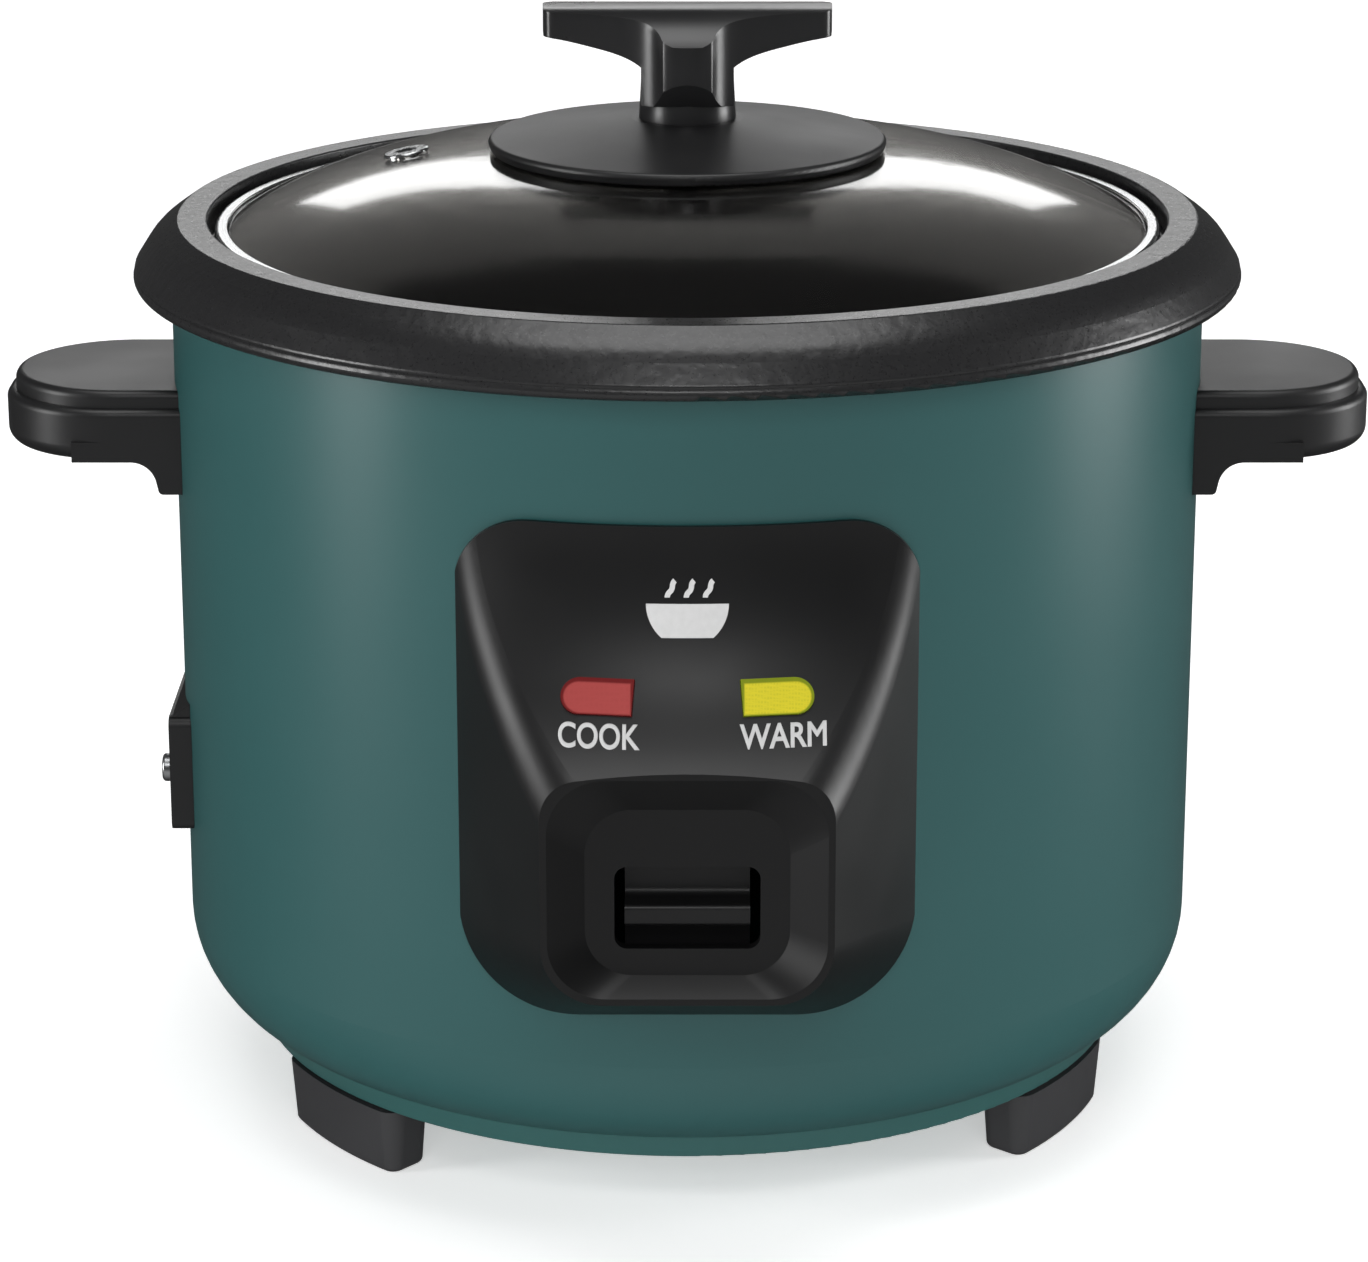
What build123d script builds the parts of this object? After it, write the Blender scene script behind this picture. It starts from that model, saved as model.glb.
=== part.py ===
from build123d import *
import math
import os

# A drum rice cooker with a lift-out pot and a glass lid. Millimetres.
# The origin is on the counter, on the drum's axis. +Z is up and the control panel faces -Y.

# Drum
DRUM_R = 101.5
DRUM_WALL = 0.8
DRUM_TOP = 172.0
DRUM_MOUTH_R = 97.5
DRUM_CURVE_R = 21.0
DRUM_FOOT_R = 90.1
DRUM_FOOT_Z = 19.0
DRUM_FLANGE_R = 80.0

# Bottom cover and feet
COVER_R = 87.5
COVER_Z = 13.9
COVER_WALL = 1.0
COVER_TURN = 3.8
FOOT_TOP = 13.2
FOOT_PITCH_R = 82.0
FOOT_WIDTH = 11.6
FOOT_HALF_ARC = 12.8
FOOT_DRAFT = 4.5
FOOT_FROM_FRONT = 57.2

# Pot
POT_R = 90.0
POT_WALL = 1.6
POT_FLOOR = 86.0
POT_CORNER = 14.0
LEDGE_Z = 172.3
SEAT_R = 94.2
RIM_R = 100.0
RIM_Z = 178.2
SKIRT_R = 108.8
SKIRT_Z = 168.7
BEAD_R = 1.35

# Lid
LID_R = 92.8
LID_LOW = 172.6
LID_HIGH = 176.5
GLASS_EDGE_R = 92.1
GLASS_EDGE_TOP = 175.4
LIP_R = 90.3
RIM_INNER_R = 88.6
LIP_T = 0.5
GLASS_T = 3.0
HOLLOW_EDGE_R = 89.0
CROWN_Z = 191.0
CROWN_R = 690.0
CROWN_EDGE = 39.0
SHOULDER_R = 126.6
DISC_R = 39.3
DISC_EDGE_Z = 192.5
PILLAR_R = 9.5
PILLAR_Z = 196.4
KNOB_TOP = 218.0
KNOB_HALF_SPAN = 28.4
VENT_R = 56.0
VENT_ANGLE = 173.0

# Heat source
PLATE_R = 69.0
PLATE_TOP = 85.7
PLATE_T = 12.0
PLATE_BORE = 19.0
ELEMENT_R = 48.0
ELEMENT_TUBE = 4.0
LINER_R = 96.6
LINER_WALL = 0.6
LINER_DECK = 70.0
WELL_R = 76.0

# Thermostat
TUBE_R = 17.0
TUBE_FLOOR = 44.0
CAP_R = 16.6
CAP_LOW = 60.0
MAGNET_TOP = 73.1
ROD_R = 2.0
ROD_FOOT = 32.3

# Lever
PIVOT_Y = -70.0
PIVOT_Z = 36.0
PIN_R = 1.5
ARM_TOP = 32.0
ARM_T = 1.5
UPRIGHT_Y = -96.0
KNOB_Z = 70.4
LEVER_TOP = 81.6
LEVER_LOW = 63.8
SWITCH_Y = -50.0

# Panel
PANEL_TOP = 142.0
PANEL_LOW = 49.0
PANEL_HALF = 42.3
PANEL_WALL = 2.4
SNOUT_Y = -121.0
SNOUT_HALF = 26.3
SNOUT_TOP = 101.9
SNOUT_LOW = 58.1
SNOUT_CORNER = 11.0
SIDE_SLOPE = 0.549
LOW_SLOPE = 0.497
PANEL_BACK = -80.0
FLARE_CORNER = 24.0
SWEEP_R = 52.9
RECESS_Y = -116.5
RECESS_HALF = 18.4
RECESS_TOP = 93.7
RECESS_LOW = 62.2
SLOT_HALF = 13.1
SLOT_TOP = 82.9
SLOT_LOW = 67.3
LENS_X = 16.1
LENS_Z = 112.8
LENS_W = 13.2
LENS_H = 7.0
LAMP_BOARD_Y = -98.7

# Side handles
HANDLE_TOP = 146.6
HANDLE_T = 13.8
HANDLE_END = 135.0
HANDLE_HALF = 24.2
HANDLE_CORNER = 22.0
HANDLE_TIER = 3.4
ROOT_LOW = 126.3
HANDLE_SCREW_Y = 14.0
HANDLE_SCREW_Z = 139.5

# Inlet
INLET_X = -102.9
INLET_Z = 68.7
INLET_SCREW_Y = 20.0
PIN_END_X = -79.0
WIRE_Z = 66.2
FUSE_X = -62.0


def turned(*corners):
    """A ring or disc turned about Z from a closed (radius, height[, rounding]) outline."""
    points = [(c[0], c[1]) for c in corners]
    rounds = [c[2] if len(c) > 2 else 0 for c in corners]
    line = FilletPolyline(*points, radius=rounds, close=True)
    return revolve(Plane.XZ * make_face(line), Axis.Z, 360)


def ring(r_out, r_in, low, high):
    """A plain ring between two heights."""
    return turned((r_in, low), (r_out, low), (r_out, high), (r_in, high))


def rod(r, start, end):
    """A round bar between two points."""
    a = Vector(*start)
    b = Vector(*end)
    plane = Plane(origin=a, z_dir=b - a)
    return extrude(plane * Circle(r), (b - a).length)


def block(low, high):
    """A box between two corners."""
    size = [h - l for l, h in zip(low, high)]
    middle = [(h + l) / 2 for l, h in zip(low, high)]
    return Pos(*middle) * Box(*size)


def polar(r, degrees, z=0.0):
    """A point at a radius and an angle measured from +X."""
    return (r * math.cos(math.radians(degrees)), r * math.sin(math.radians(degrees)), z)


def slab_x(points, half):
    """An outline in (y, z) given thickness across X, from -half to half."""
    face = make_face(Polyline(*points, close=True))
    return Pos(-half, 0, 0) * extrude(Plane.YZ * face, 2 * half)


def round_box_y(half, low, high, corner, y_from, y_to):
    """A prism along Y with rounded corners in the front view."""
    face = RectangleRounded(2 * half, high - low, corner)
    plane = Plane(origin=(0, y_to, (low + high) / 2), x_dir=(1, 0, 0), z_dir=(0, -1, 0))
    return extrude(plane * face, y_to - y_from)


def pan_head(point, outward, head_r=3.0, head_h=2.0, shank_r=1.5, shank=8.0):
    """A pan-head screw: its head stands on the point and its shank runs against `outward`."""
    plane = Plane(origin=point, z_dir=outward)
    head = plane * Pos(0, 0, head_h / 2) * Cylinder(head_r, head_h)
    head = fillet(head.edges().group_by(Axis(point, outward))[-1], 0.7 * head_h / 2)
    slot = plane * Pos(0, 0, head_h) * Box(2.2 * head_r, 0.8, head_h)
    stem = plane * Pos(0, 0, -shank / 2) * Cylinder(shank_r, shank)
    return head - slot + stem


# ---------------------------------------------------------------- drum and liner


def drum_section(inset):
    """Half of the drum's solid section, inset from its outer face."""
    centre_r = DRUM_R - DRUM_CURVE_R
    radius = DRUM_CURVE_R - inset
    sweep = math.acos((DRUM_FOOT_R - centre_r) / DRUM_CURVE_R)
    centre_z = DRUM_FOOT_Z + DRUM_CURVE_R * math.sin(sweep)
    low = DRUM_FOOT_Z + inset
    sweep = math.asin((centre_z - low) / radius)
    end = (centre_r + radius * math.cos(sweep), low)
    middle = (centre_r + radius * math.cos(sweep / 2), centre_z - radius * math.sin(sweep / 2))
    side = (DRUM_R - inset, centre_z)
    top = DRUM_TOP - inset
    lines = Line((0, low), end)
    lines += ThreePointArc(end, middle, side)
    lines += Line(side, (DRUM_R - inset, top))
    lines += Line((DRUM_R - inset, top), (0, top))
    lines += Line((0, top), (0, low))
    return revolve(Plane.XZ * make_face(lines), Axis.Z, 360)


def outer_shell():
    shell = drum_section(0) - drum_section(DRUM_WALL)
    shell -= ring(DRUM_MOUTH_R, 0, DRUM_TOP - 3, DRUM_TOP + 1)
    shell -= ring(DRUM_FLANGE_R, 0, DRUM_FOOT_Z - 1, DRUM_FOOT_Z + 3)
    shell -= round_box_y(30, 57, 129, 6, -110, -80)
    shell -= block((-110, -13.5, INLET_Z - 10.5), (-90, 13.5, INLET_Z + 10.5))
    for angle in PANEL_SCREW_ANGLES:
        for z in PANEL_SCREW_HEIGHTS:
            shell -= rod(1.7, polar(95, angle, z), polar(105, angle, z))
    for side in (0, 180):
        for offset in (-1, 1):
            angle = side + offset * HANDLE_SCREW_ANGLE
            shell -= rod(1.7, polar(95, angle, HANDLE_SCREW_Z), polar(105, angle, HANDLE_SCREW_Z))
    for offset in (-1, 1):
        y = offset * INLET_SCREW_Y
        shell -= rod(1.4, (-110, y, INLET_Z), (-90, y, INLET_Z))
    for angle in BASE_SCREW_ANGLES:
        shell -= rod(1.6, polar(84, angle, DRUM_FOOT_Z - 1), polar(84, angle, DRUM_FOOT_Z + 2))
    return shell


def heat_shield():
    """The inner drum: it hangs from the mouth and steps in to carry the heating plate."""
    corner = POT_CORNER + 5
    outer = turned(
        (0, LINER_DECK), (WELL_R + LINER_WALL, LINER_DECK), (WELL_R + LINER_WALL, 81.0 - LINER_WALL),
        (LINER_R + LINER_WALL, 81.0 - LINER_WALL, corner), (LINER_R + LINER_WALL, 171.2), (0, 171.2),
    )
    inner = turned(
        (0, LINER_DECK + LINER_WALL), (WELL_R, LINER_DECK + LINER_WALL), (WELL_R, 81.0),
        (LINER_R, 81.0, corner), (LINER_R, 172), (0, 172),
    )
    shield = outer - inner
    shield += ring(DRUM_R - DRUM_WALL - 0.3, LINER_R, 171.2 - LINER_WALL, 171.2)
    shield -= ring(20, 0, LINER_DECK - 1, LINER_DECK + 2)
    for angle in POST_ANGLES:
        shield -= rod(1.8, polar(60, angle, LINER_DECK - 1), polar(60, angle, LINER_DECK + 2))
    for angle in TUBE_SCREW_ANGLES:
        shield -= rod(1.3, polar(23, angle, LINER_DECK - 1), polar(23, angle, LINER_DECK + 2))
    for angle in (60, 120):
        shield -= rod(5.5, polar(ELEMENT_R, angle, LINER_DECK - 1), polar(ELEMENT_R, angle, LINER_DECK + 2))
    return shield


# ---------------------------------------------------------------- bottom cover and feet


def base_plate():
    lean = (DRUM_FOOT_R - COVER_R) / (DRUM_FOOT_Z - COVER_Z)
    outer = turned((0, COVER_Z), (COVER_R, COVER_Z, 0.6), (DRUM_FOOT_R, DRUM_FOOT_Z), (0, DRUM_FOOT_Z))
    floor = COVER_Z + COVER_WALL
    inner = turned(
        (0, floor), (COVER_R - COVER_WALL * (1 - lean), floor),
        (DRUM_FOOT_R - COVER_WALL, DRUM_FOOT_Z), (0, DRUM_FOOT_Z),
    )
    plate = outer - inner
    for row_r, count in ((36, 16), (54, 24)):
        for k in range(count):
            angle = 360 * (k + 0.5) / count
            slot = Pos(row_r, 0, COVER_Z) * Box(11, 3.2, 6)
            slot = fillet(slot.edges().filter_by(Axis.Z), 1.5)
            plate -= Rot(0, 0, angle) * slot
    for angle in FOOT_ANGLES:
        plate -= rod(1.6, polar(FOOT_PITCH_R, angle, COVER_Z - 1), polar(FOOT_PITCH_R, angle, COVER_Z + 2))
    for angle in BASE_SCREW_ANGLES:
        plate -= rod(1.6, polar(84, angle, COVER_Z - 1), polar(84, angle, COVER_Z + 2))
    return plate


def arc_plan(width, half_arc, corner):
    """A piece of a ring centred on +X, with rounded corners."""
    outer = FOOT_PITCH_R + width / 2
    inner = FOOT_PITCH_R - width / 2
    arc_out = CenterArc((0, 0, 0), outer, -half_arc, 2 * half_arc)
    arc_in = CenterArc((0, 0, 0), inner, -half_arc, 2 * half_arc)
    face = make_face([arc_out, arc_in, Line(arc_out @ 0, arc_in @ 0), Line(arc_out @ 1, arc_in @ 1)])
    return fillet(face.vertices(), corner)


def foot(angle):
    """A curved block that narrows downwards, with a step that shows a thin gap under the cover."""
    wide = Pos(0, 0, FOOT_TOP) * arc_plan(FOOT_WIDTH, FOOT_HALF_ARC, 3.6)
    body = extrude(wide, -FOOT_TOP, taper=FOOT_DRAFT)
    body = fillet(body.edges().group_by(Axis.Z)[0], 1.3)
    tongue = Pos(0, 0, FOOT_TOP - 1) * arc_plan(FOOT_WIDTH - 4, FOOT_HALF_ARC - 2, 2)
    body += extrude(tongue, COVER_Z - FOOT_TOP + 1)
    body -= rod(1.6, (FOOT_PITCH_R, 0, -1), (FOOT_PITCH_R, 0, COVER_Z + 1))
    body -= rod(3.4, (FOOT_PITCH_R, 0, -1), (FOOT_PITCH_R, 0, 6.5))
    return Rot(0, 0, angle) * body


def foot_screws():
    screws = [
        pan_head(polar(FOOT_PITCH_R, angle, 6.5), (0, 0, -1), head_r=3.0, shank_r=1.5, shank=10)
        for angle in FOOT_ANGLES
    ]
    return Compound(children=screws)


def base_screws():
    screws = [
        pan_head(polar(84, angle, COVER_Z), (0, 0, -1), head_r=2.4, head_h=1.4, shank_r=1.5, shank=9)
        for angle in BASE_SCREW_ANGLES
    ]
    return Compound(children=screws)


# ---------------------------------------------------------------- side handles


def handle_plan(inset):
    """The handle seen from above, from the drum's axis out to its round end."""
    length = HANDLE_END - inset
    return Pos(length / 2, 0) * RectangleRounded(length, 2 * (HANDLE_HALF - inset), HANDLE_CORNER)


def right_handle():
    """A slab in two tiers, and a root that curves down on to the drum."""
    low = HANDLE_TOP - HANDLE_T
    ledge = HANDLE_TOP - HANDLE_TIER
    lower = extrude(Pos(0, 0, low) * handle_plan(0), ledge - low)
    lower = fillet(lower.edges().group_by(Axis.Z)[-1], 1.5)
    lower = fillet(lower.edges().group_by(Axis.Z)[0], 3.0)
    upper = extrude(Pos(0, 0, ledge - 1) * handle_plan(1.6), HANDLE_TIER + 1)
    upper = fillet(upper.edges().group_by(Axis.Z)[-1], 1.5)
    root_line = FilletPolyline(
        (90, low + 4), (90, ROOT_LOW), (DRUM_R + 1.6, ROOT_LOW), (DRUM_R + 3.0, low),
        (120, low), (120, low + 4),
        radius=(0, 0, 1.0, 5.0, 0, 0), close=True,
    )
    root = extrude(Plane.XZ * make_face(root_line), HANDLE_HALF, both=True)
    handle = lower + upper + root - ring(DRUM_R, 0, 100, 180)
    for offset in (-1, 1):
        angle = offset * HANDLE_SCREW_ANGLE
        handle -= rod(1.45, polar(95, angle, HANDLE_SCREW_Z), polar(112.4, angle, HANDLE_SCREW_Z))
    return handle


def handle_screws():
    screws = []
    for side in (0, 180):
        for offset in (-1, 1):
            angle = side + offset * HANDLE_SCREW_ANGLE
            head_face = DRUM_R - DRUM_WALL - 0.1
            inward = polar(-1, angle)
            screws.append(
                pan_head(polar(head_face, angle, HANDLE_SCREW_Z), inward, 2.8, 1.6, 1.4, 11)
            )
    return Compound(children=screws)


# ---------------------------------------------------------------- control panel


def panel_flare(inset):
    """The panel's flaring sides and underside, rounded where they meet."""
    front = SNOUT_Y + inset
    sections = []
    for y, corner in ((front, SNOUT_CORNER), (PANEL_BACK, FLARE_CORNER)):
        half = SNOUT_HALF - inset + SIDE_SLOPE * (y - front)
        low = SNOUT_LOW + inset - LOW_SLOPE * (y - front)
        high = PANEL_TOP + 10.0
        plan = FilletPolyline(
            (-half, low), (half, low), (half, high), (-half, high), radius=(corner, corner, 0, 0), close=True
        )
        sections.append(Plane(origin=(0, y, 0), x_dir=(1, 0, 0), z_dir=(0, -1, 0)) * make_face(plan))
    return loft(sections)


def panel_body(inset):
    """The panel's outer form, or the hollow behind it when inset."""
    reach = 60.0
    run_on = 0.12
    centre = -SNOUT_Y - SWEEP_R * (1 - math.cos(SWEEP_ANGLE)) + SWEEP_R
    radius = SWEEP_R + inset
    low = PANEL_LOW + inset
    far = centre - radius * math.cos(SWEEP_ANGLE + run_on)
    far_z = PANEL_TOP - radius * math.sin(SWEEP_ANGLE + run_on)
    half_angle = (SWEEP_ANGLE + run_on) / 2
    middle = (centre - radius * math.cos(half_angle), PANEL_TOP - radius * math.sin(half_angle))
    start = (centre - radius, PANEL_TOP)
    lines = ThreePointArc(start, middle, (far, far_z))
    lines += Line((far, far_z), (far, low))
    lines += Line((far, low), (reach, low))
    lines += Line((reach, low), (reach, PANEL_TOP))
    lines += Line((reach, PANEL_TOP), start)
    return panel_flare(inset) & revolve(Plane.XZ * make_face(lines), Axis.Z, 360)


def panel_outline(inset):
    """The panel's rounded outline in the front view, as a prism along Y."""
    half = PANEL_HALF - inset
    low = PANEL_LOW + inset
    high = PANEL_TOP - inset
    plan = FilletPolyline(
        (-half, low), (half, low), (half, high), (-half, high),
        radius=(19 - inset, 19 - inset, 14 - inset, 14 - inset), close=True,
    )
    plane = Plane(origin=(0, -80, 0), x_dir=(1, 0, 0), z_dir=(0, -1, 0))
    return extrude(plane * make_face(plan), 60)


def snout_recess():
    """The dished surround of the lever slot."""
    rim_plane = Plane(origin=(0, SNOUT_Y - 0.01, 0), x_dir=(1, 0, 0), z_dir=(0, -1, 0))
    floor_plane = Plane(origin=(0, RECESS_Y, 0), x_dir=(1, 0, 0), z_dir=(0, -1, 0))
    rim_mid = (SNOUT_TOP + SNOUT_LOW) / 2
    floor_mid = (RECESS_TOP + RECESS_LOW) / 2
    rim = rim_plane * Pos(0, rim_mid) * RectangleRounded(
        2 * SNOUT_HALF - 2.4, SNOUT_TOP - SNOUT_LOW - 2.4, 10.5
    )
    floor = floor_plane * Pos(0, floor_mid) * RectangleRounded(
        2 * RECESS_HALF, RECESS_TOP - RECESS_LOW, 8.5
    )
    return loft([floor, rim])


def lens_frame(side):
    """A plane on the swept face at a lamp window, z outwards and y up the slope."""
    angle = -90 + side * math.degrees(math.asin(LENS_X / LENS_RADIUS))
    slope = math.asin((PANEL_TOP - LENS_Z) / SWEEP_R)
    out = Vector(*polar(math.cos(slope), angle, math.sin(slope)))
    across = Vector(*polar(1, angle + 90))
    return Plane(origin=polar(LENS_RADIUS, angle, LENS_Z), x_dir=across, z_dir=out)


def lens_solid(side, grow, low, high):
    """A lamp window: square on its inner end and round on its outer end."""
    width = LENS_W + 2 * grow
    height = LENS_H + 2 * grow
    square = Rectangle(width - height / 2, height)
    shape = Pos(-side * height / 4, 0) * square + Pos(side * (width / 2 - height / 2), 0) * Circle(height / 2)
    return extrude(lens_frame(side) * Pos(0, 0, low) * shape, high - low)


def control_panel():
    outer = panel_body(0)
    creases = outer.edges().filter_by(lambda e: is_crease(e))
    outer = fillet(creases, 9.0)
    outer = outer & panel_outline(0)
    hollow = panel_body(PANEL_WALL) & panel_outline(PANEL_WALL)
    hollow -= block((-60, -130, 40), (60, RECESS_Y + PANEL_WALL, 150)) & round_box_y(
        SNOUT_HALF + 4, SNOUT_LOW - 6, SNOUT_TOP + 3, 4, -130, -100
    )
    panel = outer - snout_recess() - hollow - ring(DRUM_R, 0, 40, 150)
    panel -= round_box_y(SLOT_HALF, SLOT_LOW, SLOT_TOP, 2.3, -125, -108)
    for angle in PANEL_SCREW_ANGLES:
        for z in PANEL_SCREW_HEIGHTS:
            boss = rod(3.2, polar(DRUM_R, angle, z), polar(DRUM_R + 30, angle, z)) - ring(DRUM_R, 0, 40, 150)
            panel += boss & outer
    for angle in PANEL_SCREW_ANGLES:
        for z in PANEL_SCREW_HEIGHTS:
            panel -= rod(1.45, polar(95, angle, z), polar(105.2, angle, z))
    for side in (-1, 1):
        panel -= lens_solid(side, 0, -6, 4)
        x = side * 25.5
        panel += rod(1.6, (x, LAMP_BOARD_Y, 118), (x, LAMP_BOARD_Y - 14, 118)) & outer
    return panel


def is_crease(edge):
    """The long edges where the side faces meet the swept face."""
    middle = edge @ 0.5
    side_x = SNOUT_HALF + SIDE_SLOPE * (middle.Y - SNOUT_Y)
    on_side = abs(abs(middle.X) - side_x) < 0.05
    return on_side and SNOUT_Y + 0.5 < middle.Y < PANEL_BACK - 1 and SNOUT_TOP < middle.Z < PANEL_TOP - 1


def panel_screws():
    screws = []
    for angle in PANEL_SCREW_ANGLES:
        for z in PANEL_SCREW_HEIGHTS:
            head_face = DRUM_R - DRUM_WALL - 0.1
            screws.append(pan_head(polar(head_face, angle, z), polar(-1, angle), 2.8, 1.6, 1.4, 4.2))
    return Compound(children=screws)


def lens(side):
    body = lens_solid(side, -0.1, -2.4, 0.5)
    collar = lens_solid(side, 1.0, -3.6, -2.6)
    return body + collar + lens_solid(side, -0.6, -2.7, -2.3)


def lamp_board():
    return block((-27, LAMP_BOARD_Y, 104), (27, LAMP_BOARD_Y + 1.3, 121))


def lamp(side):
    """A small neon lamp lying behind its window, on two wire legs."""
    x = side * LENS_X
    y = LAMP_BOARD_Y - 3.0
    bulb = rod(2.2, (x - 5, y, 112), (x + 5, y, 112))
    bulb = fillet(bulb.edges().filter_by(GeomType.CIRCLE), 1.4)
    for leg_x in (x - 3, x + 3):
        bulb += rod(0.5, (leg_x, y, 112), (leg_x, LAMP_BOARD_Y, 112))
    return bulb


# ---------------------------------------------------------------- lever and switch


def lever_arm():
    """Bent steel strip: a level run over the pivot and an upright behind the panel."""
    low = ARM_TOP - ARM_T
    strip = slab_x([
        (6, low), (6, ARM_TOP), (UPRIGHT_Y + ARM_T, ARM_TOP), (UPRIGHT_Y + ARM_T, 79.0),
        (UPRIGHT_Y, 79.0), (UPRIGHT_Y, low),
    ], 5.0)
    ears = Part()
    for x in (-5.0, 3.8):
        ear = block((x, PIVOT_Y - 4, low), (x + 1.2, PIVOT_Y + 4, PIVOT_Z + 4))
        ear = fillet(ear.edges().filter_by(Axis.X).group_by(Axis.Z)[-1], 3)
        ears += ear
    arm = strip + ears
    arm -= rod(PIN_R + 0.06, (-12, PIVOT_Y, PIVOT_Z), (12, PIVOT_Y, PIVOT_Z))
    return arm


def lever_bracket():
    bracket = block((-9.2, PIVOT_Y - 7, COVER_Z + 1), (9.2, PIVOT_Y + 7, COVER_Z + 2.2))
    for x in (-9.2, 8.0):
        cheek = block((x, PIVOT_Y - 7, COVER_Z + 1), (x + 1.2, PIVOT_Y + 7, PIVOT_Z + 5))
        cheek = fillet(cheek.edges().filter_by(Axis.X).group_by(Axis.Z)[-1], 5)
        bracket += cheek
    bracket -= rod(PIN_R, (-12, PIVOT_Y, PIVOT_Z), (12, PIVOT_Y, PIVOT_Z))
    return bracket


def lever_pin():
    pin = rod(PIN_R, (-9.2, PIVOT_Y, PIVOT_Z), (9.2, PIVOT_Y, PIVOT_Z))
    for x, y in ((-9.2, -10.2), (9.2, 10.2)):
        pin += rod(2.6, (x, PIVOT_Y, PIVOT_Z), (y, PIVOT_Y, PIVOT_Z))
    return pin


def cook_lever():
    """The black finger bar in the slot: a lip on a tall set-back face, and a shank to the arm."""
    face_y = -108.3
    lip_y = -113.4
    profile = FilletPolyline(
        (lip_y, KNOB_Z), (lip_y, KNOB_Z + 3.9), (face_y, KNOB_Z + 4.6), (face_y, LEVER_TOP),
        (face_y + 2.4, LEVER_TOP), (face_y + 2.4, LEVER_LOW), (face_y, LEVER_LOW), (face_y, KNOB_Z),
        radius=(0.8, 1.0, 1.6, 0.5, 0, 0, 0, 0), close=True,
    )
    bar = Pos(-11.3, 0, 0) * extrude(Plane.YZ * make_face(profile), 22.6)
    shank = block((-5.5, face_y + 2.0, 71.5), (5.5, UPRIGHT_Y, 78.5))
    return bar + shank


def microswitch():
    body = block((-10, SWITCH_Y - 4, COVER_Z + 1), (10, SWITCH_Y + 4, 26))
    body -= block((-1.6, SWITCH_Y - 1.1, 20), (1.6, SWITCH_Y + 1.1, 30))
    for x in (-7, 7):
        body -= rod(1.2, (x, SWITCH_Y - 6, 19), (x, SWITCH_Y + 6, 19))
    return body


def switch_button():
    button = block((-1.3, SWITCH_Y - 0.8, 22), (1.3, SWITCH_Y + 0.8, 30.2))
    return fillet(button.edges().group_by(Axis.Z)[-1], 0.5)


def switch_contacts():
    tabs = Part()
    for x in (-11.2, 10.0):
        tabs += block((x, SWITCH_Y - 2.5, 17.5), (x + 1.2, SWITCH_Y + 2.5, 24.5))
    return tabs


# ---------------------------------------------------------------- heating


def heating_plate():
    low = PLATE_TOP - PLATE_T
    plate = turned(
        (PLATE_BORE, low), (PLATE_R - 6, low, 3), (PLATE_R, low + 5, 2), (PLATE_R, PLATE_TOP - 1.6, 1.2),
        (PLATE_R - 4, PLATE_TOP), (PLATE_BORE, PLATE_TOP, 0.6),
    )
    groove = Pos(0, 0, low + 1.0) * Torus(ELEMENT_R, ELEMENT_TUBE + 0.1)
    plate -= groove
    for angle in POST_ANGLES:
        plate -= rod(1.5, polar(60, angle, low - 1), polar(60, angle, low + 7))
    return plate


def heating_element():
    """The tubular element, bent round in the plate's groove with its two ends turned down."""
    z = PLATE_TOP - PLATE_T + 1.0
    loop = Rot(0, 0, 120) * revolve(Plane.XZ * Pos(ELEMENT_R, z) * Circle(ELEMENT_TUBE), Axis.Z, 300)
    for angle in (60, 120):
        loop += rod(ELEMENT_TUBE, polar(ELEMENT_R, angle, z), polar(ELEMENT_R, angle, 62))
        loop += Pos(*polar(ELEMENT_R, angle, z)) * Sphere(ELEMENT_TUBE)
    return loop


def heater_terminals():
    """Ceramic beads and spade tabs on the element's two ends."""
    ends = []
    for angle in (60, 120):
        x, y, _ = polar(ELEMENT_R, angle)
        bead = rod(3.0, (x, y, 56), (x, y, 62))
        tab = block((x - 3.15, y - 0.4, 48), (x + 3.15, y + 0.4, 56))
        ends.append(bead + tab)
    return Compound(children=ends)


def plate_posts():
    deck = LINER_DECK + LINER_WALL
    posts = []
    for angle in POST_ANGLES:
        post = rod(4.5, polar(60, angle, deck), polar(60, angle, PLATE_TOP - PLATE_T))
        post -= rod(1.8, polar(60, angle, deck - 1), polar(60, angle, PLATE_TOP - PLATE_T + 1))
        posts.append(post)
    return Compound(children=posts)


def plate_screws():
    screws = [
        pan_head(polar(60, angle, LINER_DECK), (0, 0, -1), 3.2, 2.0, 1.4, 9) for angle in POST_ANGLES
    ]
    return Compound(children=screws)


def keep_warm_heater():
    """A flat resistance band taped round the back of the liner."""
    inner = LINER_R + LINER_WALL
    band = ring(inner + 1.0, inner, 118, 142)
    return band & block((-60, 60, 110), (60, 110, 150))


def thermal_fuse():
    """The fuse in its woven sleeve, clipped under the liner deck."""
    body = rod(2.2, (FUSE_X, 18, WIRE_Z), (FUSE_X, 40, WIRE_Z))
    body += rod(0.6, (FUSE_X, 13, WIRE_Z), (FUSE_X, 46, WIRE_Z))
    clip = block((FUSE_X - 4, 25, WIRE_Z + 2.2), (FUSE_X + 4, 33, LINER_DECK))
    return body + clip


# ---------------------------------------------------------------- thermostat


def thermostat_tube():
    floor_top = TUBE_FLOOR + 1.2
    tube = turned(
        (ROD_R + 0.5, TUBE_FLOOR), (TUBE_R + 1, TUBE_FLOOR), (TUBE_R + 1, LINER_DECK - 1.2),
        (28, LINER_DECK - 1.2), (28, LINER_DECK), (TUBE_R, LINER_DECK), (TUBE_R, floor_top),
        (ROD_R + 0.5, floor_top),
    )
    for angle in TUBE_SCREW_ANGLES:
        tube -= rod(1.3, polar(23, angle, LINER_DECK - 3), polar(23, angle, LINER_DECK + 2))
    return tube


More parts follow.
